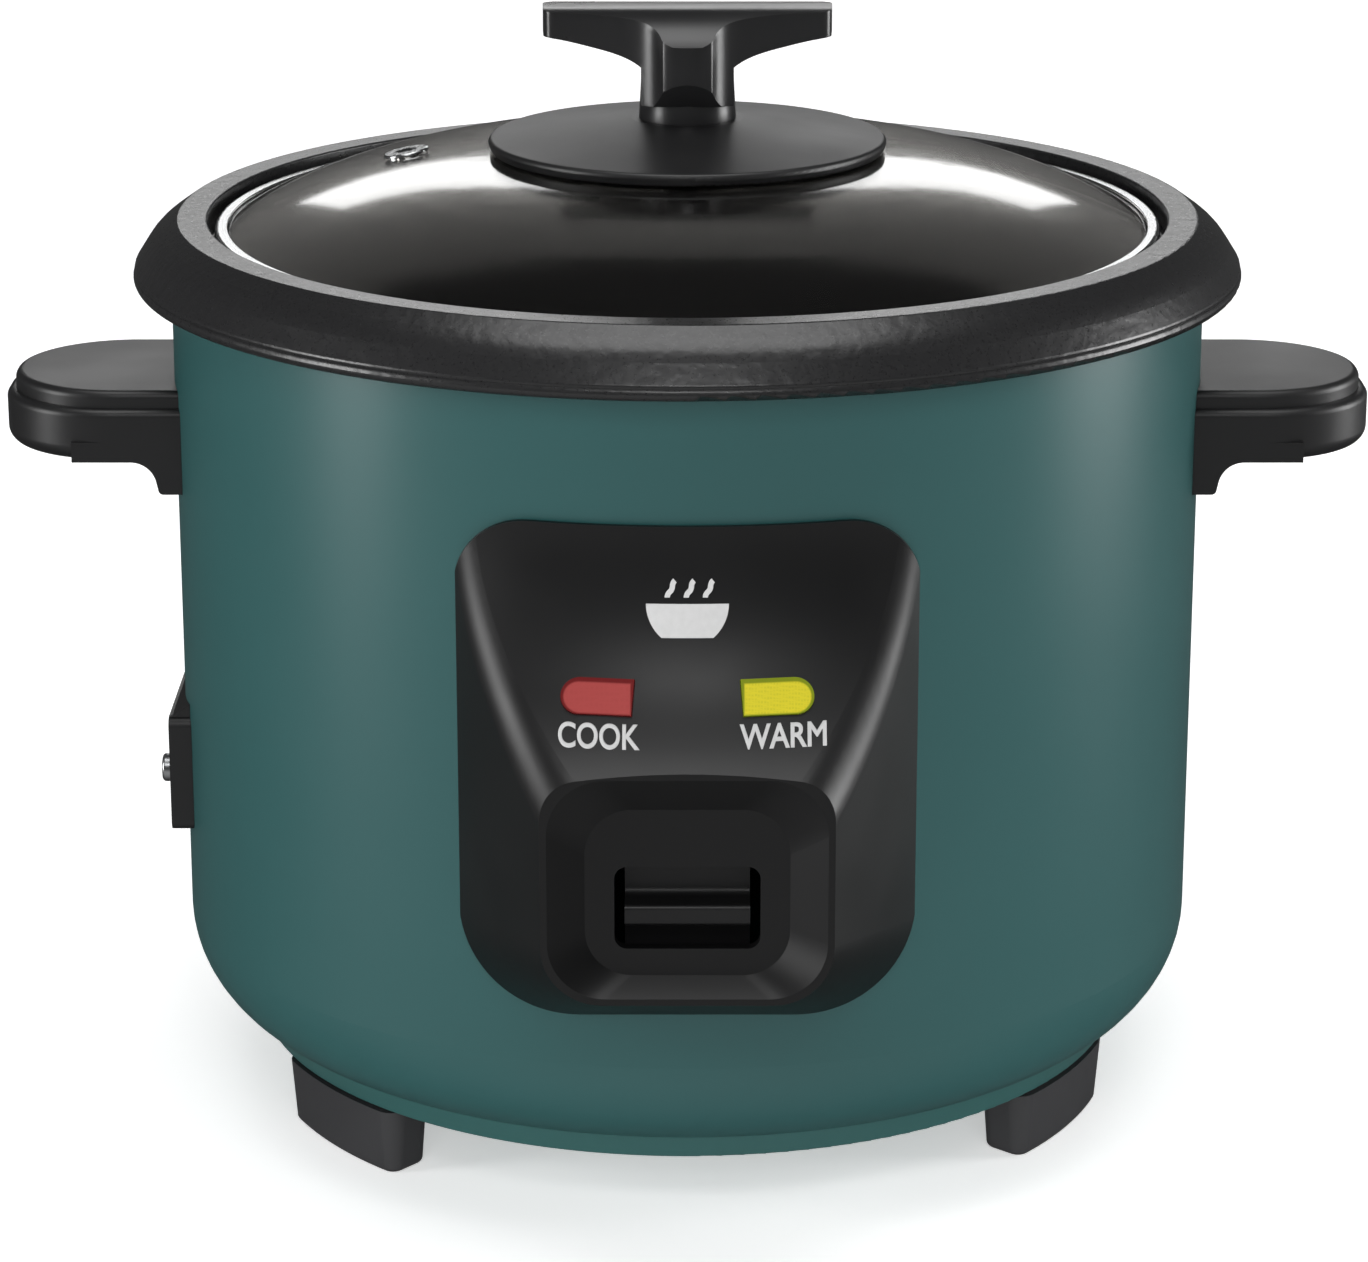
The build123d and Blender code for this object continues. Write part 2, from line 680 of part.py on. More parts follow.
def thermostat_screws():
    point_z = LINER_DECK - 1.2
    screws = [
        pan_head(polar(23, angle, point_z), (0, 0, -1), 2.4, 1.5, 1.2, 4) for angle in TUBE_SCREW_ANGLES
    ]
    return Compound(children=screws)


def sensor_cap():
    return turned(
        (0, PLATE_TOP - 0.8), (CAP_R - 0.8, PLATE_TOP - 0.8), (CAP_R - 0.8, CAP_LOW), (CAP_R, CAP_LOW),
        (CAP_R, PLATE_TOP, 1.0), (0, PLATE_TOP),
    )


def sensor_ferrite():
    return ring(10, 0, PLATE_TOP - 7.8, PLATE_TOP - 0.8)


def coil(radius, wire, low, high, turns):
    """A compression spring about Z between two heights, with its wire's ends cut square."""
    span = high - low - 2 * wire
    path = Helix(pitch=span / turns, height=span, radius=radius)
    start = path @ 0
    section = Plane(origin=start, z_dir=path % 0) * Circle(wire)
    return Pos(0, 0, low + wire) * sweep(section, path, is_frenet=True)


def sensor_spring():
    return coil(13.3, 0.8, TUBE_FLOOR + 1.4, PLATE_TOP - 1.0, 7)


def magnet():
    return turned(
        (ROD_R, MAGNET_TOP - 8), (9, MAGNET_TOP - 8, 0.5), (9, MAGNET_TOP, 0.5), (ROD_R, MAGNET_TOP),
    )


def magnet_rod():
    return turned(
        (0, ROD_FOOT), (3, ROD_FOOT, 0.4), (3, ROD_FOOT + 1.0), (5, ROD_FOOT + 1.0),
        (5, ROD_FOOT + 1.8), (ROD_R, ROD_FOOT + 1.8),
        (ROD_R, MAGNET_TOP - 9.4), (4.5, MAGNET_TOP - 9.4), (4.5, MAGNET_TOP - 8), (ROD_R, MAGNET_TOP - 8),
        (ROD_R, MAGNET_TOP - 0.4), (0, MAGNET_TOP - 0.4),
    )


def magnet_spring():
    return coil(3.6, 0.45, ROD_FOOT + 2.0, TUBE_FLOOR - 0.2, 5)


# ---------------------------------------------------------------- inlet and wiring


def inlet_socket():
    """Flat flange outside the drum and a box-shaped recess that reaches inside it."""
    flange = block((INLET_X, -25, INLET_Z - 11.8), (-90, 25, INLET_Z + 11.8))
    flange = fillet(flange.edges().filter_by(Axis.X), 2.0)
    flange -= ring(DRUM_R, 0, 40, 100)
    slope = Polyline(
        (INLET_X + 0.6, INLET_Z + 11.8), (-96, INLET_Z + 11.8), (-96, INLET_Z + 16.5), close=True
    )
    wedge = extrude(Plane.XZ * make_face(slope), 24, both=True)
    wedge -= ring(DRUM_R, 0, 40, 100)
    body = block((INLET_X + 1, -13.2, INLET_Z - 10.2), (-82.5, 13.2, INLET_Z + 10.2))
    socket = flange + wedge + body
    socket -= block((INLET_X - 1, -11.8, INLET_Z - 7.6), (-84.5, 11.8, INLET_Z + 7.6))
    for y in (-INLET_SCREW_Y, INLET_SCREW_Y):
        socket -= rod(1.5, (-110, y, INLET_Z), (-90, y, INLET_Z))
    for y, z in PIN_PLACES:
        socket -= block((-86, y - 2.0, z - 1.0), (-80, y + 2.0, z + 1.0))
    return socket


def inlet_pins():
    pins = []
    for y, z in PIN_PLACES:
        pin = block((-97.5, y - 2.0, z - 1.0), (PIN_END_X, y + 2.0, z + 1.0))
        pin = chamfer(pin.faces().sort_by(Axis.X)[0].edges(), 0.5)
        if y == 0:
            pin += block((PIN_END_X - 1.2, -2.0, 61), (PIN_END_X, 2.0, z))
        pins.append(pin)
    return Compound(children=pins)


def inlet_screws():
    screws = [
        pan_head((INLET_X, y, INLET_Z), (-1, 0, 0), 2.8, 1.9, 1.3, 8)
        for y in (-INLET_SCREW_Y, INLET_SCREW_Y)
    ]
    return Compound(children=screws)


def wire(*points):
    """An insulated lead along straight runs joined by round bends."""
    path = FilletPolyline(*points, radius=5.0)
    section = Plane(origin=path @ 0, z_dir=path % 0) * Circle(1.1)
    return sweep(section, path)


def wiring():
    """The leads between the inlet, the fuse, the switch and the element's two tabs."""
    tab_x, tab_y, _ = polar(ELEMENT_R, 60)
    near = FUSE_X - 8
    live = wire((PIN_END_X, 7, WIRE_Z), (FUSE_X, 7, WIRE_Z), (FUSE_X, 13, WIRE_Z))
    fused = wire(
        (FUSE_X, 46, WIRE_Z), (FUSE_X, 56, WIRE_Z), (FUSE_X, 56, 38), (-tab_x, tab_y, 38),
        (-tab_x, tab_y, 48),
    )
    neutral = wire(
        (PIN_END_X, -7, WIRE_Z), (near, -7, WIRE_Z), (near, -7, 21), (near, SWITCH_Y, 21),
        (-11.2, SWITCH_Y, 21),
    )
    switched = wire(
        (11.2, SWITCH_Y, 21), (tab_x, SWITCH_Y, 21), (tab_x, tab_y, 21), (tab_x, tab_y, 48),
    )
    earth = wire((-79.6, 0, 61), (-79.6, 0, 25), (-66, 0, 25), (-66, 0, COVER_Z + 1))
    return Compound(children=[live, fused, neutral, switched, earth])


# ---------------------------------------------------------------- pot and lid


def inner_pot():
    wall = POT_R + POT_WALL
    seat = SEAT_R + POT_WALL
    section = FilletPolyline(
        (0, POT_FLOOR), (wall, POT_FLOOR), (wall, LEDGE_Z - POT_WALL), (seat, LEDGE_Z - POT_WALL),
        (seat, RIM_Z - POT_WALL), (RIM_R + 1, RIM_Z - POT_WALL), (SKIRT_R - BEAD_R, SKIRT_Z - 1),
        (SKIRT_R, SKIRT_Z), (RIM_R + 4.9, RIM_Z - 3.4), (RIM_R, RIM_Z), (SEAT_R, RIM_Z),
        (SEAT_R, LEDGE_Z), (POT_R, LEDGE_Z), (POT_R, POT_FLOOR + POT_WALL), (0, POT_FLOOR + POT_WALL),
        radius=(0, POT_CORNER + POT_WALL, 0.8, 1.2, 1.2, 1.5, 0, 0.8, 12, 0.7, 0.5, 0.8, 0.8, POT_CORNER, 0),
        close=True,
    )
    pot = revolve(Plane.XZ * make_face(section), Axis.Z, 360)
    bead = Pos(0, 0, SKIRT_Z - BEAD_R + 0.2) * Torus(SKIRT_R - BEAD_R, BEAD_R)
    return pot + bead


def dome(offset, edge_r, edge_z):
    """The dome as a solid down to its level edge, its face moved inwards by -offset."""
    crown_r = CROWN_R + offset
    shoulder_r = SHOULDER_R + offset
    join = math.asin(CROWN_EDGE / CROWN_R)
    crown_centre = CROWN_Z - CROWN_R
    sr = (CROWN_R - SHOULDER_R) * math.sin(join)
    sz = crown_centre + (CROWN_R - SHOULDER_R) * math.cos(join)
    top = (0, crown_centre + crown_r)
    mid_crown = (crown_r * math.sin(join / 2), crown_centre + crown_r * math.cos(join / 2))
    knee = (sr + shoulder_r * math.sin(join), sz + shoulder_r * math.cos(join))
    end_angle = math.acos((edge_z - sz) / shoulder_r)
    end = (sr + shoulder_r * math.sin(end_angle), edge_z)
    mid_angle = (join + end_angle) / 2
    mid_shoulder = (sr + shoulder_r * math.sin(mid_angle), sz + shoulder_r * math.cos(mid_angle))
    floor = LID_LOW + 0.5
    lines = ThreePointArc(top, mid_crown, knee)
    lines += ThreePointArc(knee, mid_shoulder, end)
    lines += Line(end, (edge_r, edge_z))
    lines += Line((edge_r, edge_z), (edge_r, floor))
    lines += Line((edge_r, floor), (0, floor))
    lines += Line((0, floor), top)
    return revolve(Plane.XZ * make_face(lines), Axis.Z, 360)


def glass_lid():
    outer = dome(0, GLASS_EDGE_R, GLASS_EDGE_TOP)
    hollow = dome(-GLASS_T, HOLLOW_EDGE_R, LID_LOW + 0.6)
    glass = outer - hollow
    glass -= rod(2.6, (0, 0, 180), (0, 0, 200))
    return glass - vent_place() * Cylinder(2.9, 20)


def vent_place():
    """The vent's frame on the dome: its origin on the glass, z square to it."""
    tilt = math.degrees(VENT_TILT)
    return Rot(0, 0, VENT_ANGLE) * Pos(VENT_R, 0, VENT_TOP) * Rot(0, tilt, 0)


def lid_rim():
    return turned(
        (RIM_INNER_R, LID_LOW), (LID_R, LID_LOW, 0.9), (LID_R, LID_HIGH, 0.9), (LIP_R, LID_HIGH, 0.2),
        (LIP_R, LID_HIGH - LIP_T), (GLASS_EDGE_R, LID_HIGH - LIP_T), (GLASS_EDGE_R, LID_LOW + LIP_T),
        (RIM_INNER_R, LID_LOW + LIP_T),
    )


def steam_vent():
    """A rolled steel eyelet through the glass, square to the dome."""
    eyelet = Pos(0, 0, 0.35) * Cylinder(4.6, 0.7)
    eyelet = fillet(eyelet.edges().group_by(Axis.Z)[-1], 0.5)
    eyelet += Pos(0, 0, -GLASS_T - 0.5) * Cylinder(4.3, 0.6)
    eyelet += Pos(0, 0, -GLASS_T / 2 - 0.2) * Cylinder(2.7, GLASS_T + 1.1)
    eyelet -= Cylinder(2.1, 20)
    return vent_place() * eyelet


def lid_disc():
    """The shallow cone under the knob, its edge resting on the glass."""
    glass_at_edge = DOME_AT_DISC
    return turned(
        (2.6, CROWN_Z), (12, CROWN_Z - 0.1), (DISC_R - 3, glass_at_edge + 0.5),
        (DISC_R - 0.8, glass_at_edge + 0.35, 0.6), (DISC_R, DISC_EDGE_Z, 0.9), (PILLAR_R + 1.5, PILLAR_Z),
        (2.6, PILLAR_Z),
    )


def lid_knob():
    """Round pillar carrying a grip with two wings and a nose, hollowed arches beneath."""
    wing = KNOB_HALF_SPAN
    back = 6.6
    front = -4.0
    nose_half = 4.8
    nose_y = -13.2
    plan = (
        Line((-wing, back), (wing, back))
        + Line((wing, back), (wing - 0.5, front))
        + Spline([(wing - 0.5, front), (14.0, front - 1.8), (nose_half, nose_y + 1.0)],
                 tangents=[(-1, 0), (-0.35, -1)])
        + ThreePointArc((nose_half, nose_y + 1.0), (0, nose_y - 0.5), (-nose_half, nose_y + 1.0))
        + Spline([(-nose_half, nose_y + 1.0), (-14.0, front - 1.8), (0.5 - wing, front)],
                 tangents=[(-0.35, 1), (-1, 0)])
        + Line((0.5 - wing, front), (-wing, back))
    )
    prism = Pos(0, 0, 190) * extrude(make_face(plan), 40)
    corners = prism.edges().filter_by(Axis.Z)
    prism = fillet(corners.filter_by(lambda e: abs((e @ 0.5).X) > nose_half + 1), 2.4)
    prism = fillet(prism.edges().filter_by(Axis.Z).filter_by(lambda e: (e @ 0.5).Y < nose_y + 2), 1.2)
    nose_drop = 18.0
    end_z = KNOB_TOP - nose_drop + math.sqrt(nose_drop ** 2 - nose_y ** 2)
    mid_z = KNOB_TOP - nose_drop + math.sqrt(nose_drop ** 2 - (nose_y / 2) ** 2)
    side = (
        ThreePointArc((nose_y, end_z), (nose_y / 2, mid_z), (0, KNOB_TOP))
        + Line((0, KNOB_TOP), (back, KNOB_TOP))
        + Line((back, KNOB_TOP), (back, 200))
        + Line((back, 200), (nose_y + 4, 200))
        + Line((nose_y + 4, 200), (nose_y - 1, 205.6))
        + Line((nose_y - 1, 205.6), (nose_y - 1, end_z))
        + Line((nose_y - 1, end_z), (nose_y, end_z))
    )
    side_prism = Pos(-40, 0, 0) * extrude(Plane.YZ * make_face(side), 80)
    low_end = 212.8
    low_mid = 207.4
    arch = (
        Line((-wing - 1, low_end), (-wing - 1, KNOB_TOP + 1))
        + Line((-wing - 1, KNOB_TOP + 1), (wing + 1, KNOB_TOP + 1))
        + Line((wing + 1, KNOB_TOP + 1), (wing + 1, low_end))
        + Spline([(wing + 1, low_end), (19.0, 211.0), (9.0, low_mid)], tangents=[(-1, -0.05), (-1, -0.75)])
        + Line((9.0, low_mid), (9.0, 200))
        + Line((9.0, 200), (-9.0, 200))
        + Line((-9.0, 200), (-9.0, low_mid))
        + Spline([(-9.0, low_mid), (-19.0, 211.0), (-wing - 1, low_end)], tangents=[(-1, 0.75), (-1, 0.05)])
    )
    arch_prism = extrude(Plane.XZ * make_face(arch), 40, both=True)
    grip = prism & side_prism & arch_prism
    pillar = turned((0, PILLAR_Z), (PILLAR_R, PILLAR_Z), (8.8, 209), (0, 209))
    knob = grip + pillar
    return knob - rod(2.1, (0, 0, 190), (0, 0, 208))


def lid_washer():
    under = CROWN_Z - GLASS_T
    soft = ring(8, 2.3, under - 1.5, under - 0.1)
    hard = ring(9, 2.3, under - 2.5, under - 1.5)
    return Compound(children=[soft, hard])


def lid_screw():
    return pan_head((0, 0, CROWN_Z - GLASS_T - 2.5), (0, 0, -1), 4.2, 2.6, 2.0, 19)


# ---------------------------------------------------------------- derived places

SWEEP_ANGLE = math.asin((PANEL_TOP - SNOUT_TOP) / SWEEP_R)
LENS_RADIUS = (
    -SNOUT_Y - SWEEP_R * (1 - math.cos(SWEEP_ANGLE)) + SWEEP_R
    - math.sqrt(SWEEP_R ** 2 - (PANEL_TOP - LENS_Z) ** 2)
)
HANDLE_SCREW_ANGLE = math.degrees(math.asin(HANDLE_SCREW_Y / DRUM_R))
PANEL_SCREW_ANGLES = (-90 - 20, -90 + 20)
PANEL_SCREW_HEIGHTS = (66.0, 116.0)
FOOT_ANGLES = [
    COVER_TURN + base + side * FOOT_FROM_FRONT for base, side in ((-90, -1), (-90, 1), (90, -1), (90, 1))
]
BASE_SCREW_ANGLES = [COVER_TURN + 90 * k for k in range(3)]
POST_ANGLES = (90, 210, 330)
TUBE_SCREW_ANGLES = (30, 150, 270)
PIN_PLACES = ((-7.0, INLET_Z - 2.5), (0.0, INLET_Z + 3.5), (7.0, INLET_Z - 2.5))
DOME_AT_DISC = CROWN_Z - CROWN_R + math.sqrt(CROWN_R ** 2 - DISC_R ** 2)
DOME_JOIN = math.asin(CROWN_EDGE / CROWN_R)
VENT_TILT = math.asin((VENT_R - (CROWN_R - SHOULDER_R) * math.sin(DOME_JOIN)) / SHOULDER_R)
VENT_TOP = (
    CROWN_Z - CROWN_R + (CROWN_R - SHOULDER_R) * math.cos(DOME_JOIN) + SHOULDER_R * math.cos(VENT_TILT)
)

NODES = {
    "outer_shell": outer_shell,
    "heat_shield": heat_shield,
    "base_plate": base_plate,
    "foot_screws": foot_screws,
    "base_screws": base_screws,
    "right_handle": right_handle,
    "left_handle": lambda: Rot(0, 0, 180) * right_handle(),
    "handle_screws": handle_screws,
    "control_panel": control_panel,
    "panel_screws": panel_screws,
    "cook_lens": lambda: lens(-1),
    "warm_lens": lambda: lens(1),
    "lamp_board": lamp_board,
    "cook_lamp": lambda: lamp(-1),
    "warm_lamp": lambda: lamp(1),
    "lever_arm": lever_arm,
    "lever_bracket": lever_bracket,
    "lever_pin": lever_pin,
    "cook_lever": cook_lever,
    "microswitch": microswitch,
    "switch_button": switch_button,
    "switch_contacts": switch_contacts,
    "heating_plate": heating_plate,
    "heating_element": heating_element,
    "heater_terminals": heater_terminals,
    "plate_posts": plate_posts,
    "plate_screws": plate_screws,
    "keep_warm_heater": keep_warm_heater,
    "thermal_fuse": thermal_fuse,
    "thermostat_tube": thermostat_tube,
    "thermostat_screws": thermostat_screws,
    "sensor_cap": sensor_cap,
    "sensor_ferrite": sensor_ferrite,
    "sensor_spring": sensor_spring,
    "magnet": magnet,
    "magnet_rod": magnet_rod,
    "magnet_spring": magnet_spring,
    "inlet_socket": inlet_socket,
    "inlet_pins": inlet_pins,
    "inlet_screws": inlet_screws,
    "wiring": wiring,
    "inner_pot": inner_pot,
    "glass_lid": glass_lid,
    "lid_rim": lid_rim,
    "steam_vent": steam_vent,
    "lid_disc": lid_disc,
    "lid_knob": lid_knob,
    "lid_washer": lid_washer,
    "lid_screw": lid_screw,
}
FOOT_NAMES = ("foot_front_left", "foot_front_right", "foot_back_right", "foot_back_left")


def main():
    os.makedirs("parts", exist_ok=True)
    for name, angle in zip(FOOT_NAMES, FOOT_ANGLES):
        export_step(foot(angle), f"parts/{name}.step")
    for name, make in NODES.items():
        export_step(make(), f"parts/{name}.step")


main()
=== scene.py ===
import math

import bmesh
import bpy
from mathutils import Matrix, Vector


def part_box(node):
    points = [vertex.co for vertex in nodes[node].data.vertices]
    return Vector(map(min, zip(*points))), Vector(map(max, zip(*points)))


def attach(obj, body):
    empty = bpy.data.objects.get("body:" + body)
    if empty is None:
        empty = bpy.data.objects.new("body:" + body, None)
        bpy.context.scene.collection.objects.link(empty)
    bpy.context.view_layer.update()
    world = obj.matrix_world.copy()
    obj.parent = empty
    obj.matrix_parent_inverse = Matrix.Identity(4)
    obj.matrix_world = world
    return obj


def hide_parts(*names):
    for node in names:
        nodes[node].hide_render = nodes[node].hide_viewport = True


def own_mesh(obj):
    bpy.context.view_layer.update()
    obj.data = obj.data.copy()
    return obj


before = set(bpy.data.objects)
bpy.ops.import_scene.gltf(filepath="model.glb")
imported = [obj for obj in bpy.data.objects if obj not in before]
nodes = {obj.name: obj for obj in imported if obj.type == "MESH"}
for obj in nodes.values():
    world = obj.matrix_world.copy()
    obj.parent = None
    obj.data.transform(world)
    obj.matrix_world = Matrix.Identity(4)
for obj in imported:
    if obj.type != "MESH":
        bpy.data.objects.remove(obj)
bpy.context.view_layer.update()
MM = 0.001

# Room: light strengths of the world, and the paper sweep in metres
ROOM_GLOW = 0.06
FLOOR_GLOW = 0.36
PAPER_HALF_WIDTH = 4.0
PAPER_BEND_Y = 2.6
PAPER_BEND_R = 1.4
PAPER_WALL = 3.0
PAPER_DEPTH = 6.6

# Camera, in metres
CAMERA_PLACE = (0.0, -0.8716, 0.3603)
CAMERA_AIM = (0.0, 0.0, 0.0910)

# Pot, in millimetres: where its outside wall is bare metal
BARE_WALL_R = 90.8
BARE_WALL_R_MAX = 96.0
BARE_WALL_TOP = 170.9
BARE_FLOOR_TOP = 86.8

# Lamp windows, in millimetres, with their straight part as a share of half their height
LENS_X = 16.1
LENS_Z = 112.8
LENS_HALF_H = 3.5
LENS_STRAIGHT = 3.1 / LENS_HALF_H
LENS_SLOPE = math.radians(33.5)
LENS_RIM_FROM = 0.76
LENS_RIM_TO = 0.88

# Knob and spring
KNOB_EASE = 0.6 * MM
KNOB_SHARP = math.radians(40)
WIRE_R = 0.45 * MM
SPRING_TURNS = 5
STEPS_PER_TURN = 24

# Printing on the panel, whose face is swept by an arc that hangs from the panel's top
SWEEP_R = 52.9 * MM
SWEEP_AXIS_R = 155.5 * MM
INK_T = 0.04 * MM
LETTER_SWELL = 0.022
STRIP = 1.5 * MM
BOWL_R = 7.4 * MM
BOWL_TOP = 1.0 * MM
BOWL_FOOT = 0.78
WISP_W = 0.95 * MM
WISP_R = 1.3 * MM
WISP_GAP = 1.1 * MM
WISP_BEND = math.radians(50)
SIGN_Z = 127.3 * MM


# ---------------------------------------------------------------- camera, floor and lights

def place_camera():
    """A long lens a little above the lid, square to the control panel."""
    data = bpy.data.cameras.new("front_camera")
    data.lens = 118.42
    data.sensor_width = 36.0
    data.shift_x = -0.0025
    data.clip_start = 0.05
    data.clip_end = 30.0
    camera = bpy.data.objects.new("front_camera", data)
    bpy.context.scene.collection.objects.link(camera)
    camera.location = CAMERA_PLACE
    aim = Vector(CAMERA_AIM) - camera.location
    camera.rotation_euler = aim.to_track_quat("-Z", "Y").to_euler()
    bpy.context.scene.camera = camera


def softbox(name, place, target, width, height, watts, glossy=True):
    """A rectangular studio light that faces a point."""
    data = bpy.data.lights.new(name, "AREA")
    data.shape = "RECTANGLE"
    data.size = width
    data.size_y = height
    data.energy = watts
    light = bpy.data.objects.new(name, data)
    bpy.context.scene.collection.objects.link(light)
    light.visible_camera = False
    light.visible_glossy = glossy
    light.location = place
    light.rotation_euler = (Vector(target) - Vector(place)).to_track_quat("-Z", "Y").to_euler()


def stretch(mesh, edges, step):
    """Draws a sheet's free edges out by a step."""
    drawn = bmesh.ops.extrude_edge_only(mesh, edges=edges)
    moved = [g for g in drawn["geom"] if isinstance(g, bmesh.types.BMVert)]
    bmesh.ops.translate(mesh, vec=step, verts=moved)


def studio():
    """A white paper sweep: a level floor that curls up into a wall behind."""
    mesh = bmesh.new()
    start = mesh.verts.new((-PAPER_HALF_WIDTH, PAPER_BEND_Y, 0.0))
    end = mesh.verts.new((PAPER_HALF_WIDTH, PAPER_BEND_Y, 0.0))
    edge = mesh.edges.new((start, end))
    turned = bmesh.ops.spin(
        mesh, geom=[start, end, edge], cent=(0.0, PAPER_BEND_Y, PAPER_BEND_R), axis=(1.0, 0.0, 0.0),
        angle=math.radians(90), steps=24,
    )
    top = [g for g in turned["geom_last"] if isinstance(g, bmesh.types.BMEdge)]
    stretch(mesh, top, (0.0, 0.0, PAPER_WALL))
    stretch(mesh, [edge], (0.0, -PAPER_DEPTH, 0.0))
    bmesh.ops.recalc_face_normals(mesh, faces=mesh.faces[:])
    paper = finished("paper_sweep", mesh, seamless_paper())
    # Out of reflections, so that the black plastics don't turn pale near the floor.
    paper.visible_glossy = False


def dim_room():
    """Dim light all round, brighter low in front, where a pale floor would throw light back."""
    world = bpy.data.worlds.new("dim_room")
    world.use_nodes = True
    tree = world.node_tree
    direction = add(tree, "SeparateXYZ", {"Vector": add(tree, "TexCoord").outputs["Generated"]})
    low = add(
        tree, "MapRange", {"Value": direction.outputs["Z"], "From Min": -0.04, "From Max": -0.32}
    )
    front = add(
        tree, "MapRange",
        {"Value": direction.outputs["Y"], "From Min": 0.1, "From Max": -0.8, "To Max": FLOOR_GLOW},
    )
    strength = add(
        tree, "Math", {0: low.outputs["Result"], 1: front.outputs["Result"], 2: ROOM_GLOW},
        operation="MULTIPLY_ADD",
    )
    tree.nodes["Background"].inputs["Color"].default_value = linear("#FFFFFF")
    tree.links.new(strength.outputs["Value"], tree.nodes["Background"].inputs["Strength"])
    bpy.context.scene.world = world


# ---------------------------------------------------------------- small helpers

def linear(code):
    """An sRGB hex colour as linear RGBA."""
    channels = [int(code[i:i + 2], 16) / 255 for i in (1, 3, 5)]
    return [c / 12.92 if c <= 0.04045 else ((c + 0.055) / 1.055) ** 2.4 for c in channels] + [1.0]


def add(tree, kind, inputs=None, **settings):
    """Adds a node; an input is a plain value or another node's output socket."""
    made = tree.nodes.new("ShaderNode" + kind)
    for name, value in settings.items():
        setattr(made, name, value)
    for key, value in (inputs or {}).items():
        socket = made.inputs[key]
        if isinstance(value, bpy.types.NodeSocket):
            tree.links.new(value, socket)
        else:
            socket.default_value = value
    return made


def new_material(name):
    """An empty material: its tree, its shader and its object coordinates."""
    material = bpy.data.materials.new(name)
    material.use_nodes = True
    tree = material.node_tree
    tree.nodes.clear()
    shader = add(tree, "BsdfPrincipled")
    out = add(tree, "OutputMaterial")
    tree.links.new(shader.outputs["BSDF"], out.inputs["Surface"])
    place = add(tree, "TexCoord").outputs["Object"]
    return material, tree, shader, place


def finished(name, mesh, material):
    """Turns a bmesh into a smooth object at the origin."""
    data = bpy.data.meshes.new(name)
    mesh.to_mesh(data)
    mesh.free()
    data.polygons.foreach_set("use_smooth", [True] * len(data.polygons))
    data.materials.append(material)
    piece = bpy.data.objects.new(name, data)
    bpy.context.scene.collection.objects.link(piece)
    return piece


# ---------------------------------------------------------------- materials

def surface(
    name, shade, shade_2, blotch_mm, rough, rough_2, grain_mm, grain_depth_mm,
    metallic=0.0, ior=1.5, detail=2.0,
):
    """A finish that varies a little in colour and gloss, with a fine grain in relief."""
    material, tree, shader, place = new_material(name)
    blotch = add(tree, "TexNoise", {"Vector": place, "Scale": 1 / (blotch_mm * MM), "Detail": 3.0})
    tint = add(
        tree, "Mix", {"Factor": blotch.outputs["Fac"], "A": linear(shade), "B": linear(shade_2)},
        data_type="RGBA",
    )
    gloss = add(
        tree, "MapRange",
        {"Value": blotch.outputs["Fac"], "From Min": 0.3, "From Max": 0.7,
         "To Min": rough, "To Max": rough_2},
    )
    grain = add(tree, "TexNoise", {"Vector": place, "Scale": 1 / (grain_mm * MM), "Detail": detail})
    relief = add(
        tree, "Bump",
        {"Height": grain.outputs["Fac"], "Strength": 1.0, "Distance": grain_depth_mm * MM},
    )
    tree.links.new(tint.outputs["Result"], shader.inputs["Base Color"])
    tree.links.new(gloss.outputs["Result"], shader.inputs["Roughness"])
    tree.links.new(relief.outputs["Normal"], shader.inputs["Normal"])
    shader.inputs["Metallic"].default_value = metallic
    if not metallic:
        shader.inputs["IOR"].default_value = ior
    return material


def seamless_paper():
    # Seamless background paper: dead matt white, with a faint cloudy fibre.
    # A trace of its own light stands for the lamps that a studio points at the paper.
    material = surface("seamless_paper", "#FBFBFB", "#F8F8F8", 40.0, 0.9, 0.95, 2.0, 0.02)
    shader = material.node_tree.nodes["Principled BSDF"]
    shader.inputs["Emission Color"].default_value = linear("#FFFFFF")
    shader.inputs["Emission Strength"].default_value = 0.45
    return material


def stove_enamel(name, shade, shade_2):
    # Baked satin enamel on steel: even, a soft sheen, a faint orange peel about 2 mm across.
    material = surface(name, shade, shade_2, 60.0, 0.36, 0.40, 1.6, 0.006, ior=1.52)
    shader = material.node_tree.nodes["Principled BSDF"]
    shader.inputs["Coat Weight"].default_value = 0.15
    shader.inputs["Coat Roughness"].default_value = 0.25
    return material


def moulded_abs(name, shade, shade_2, rough, rough_2):
    # Injection-moulded ABS: near black and satin. Its fine spark-eroded grain is drawn 0.5 mm wide,
    # coarser than life, so that it shows.
    return surface(name, shade, shade_2, 25.0, rough, rough_2, 0.5, 0.004, ior=1.54, detail=1.0)


def sheet_steel(name, shade, shade_2, rough):
    # Zinc-plated or plain steel parts: grey, cloudy, slightly dull.
    return surface(name, shade, shade_2, 6.0, rough, rough + 0.12, 0.4, 0.002, metallic=1.0)


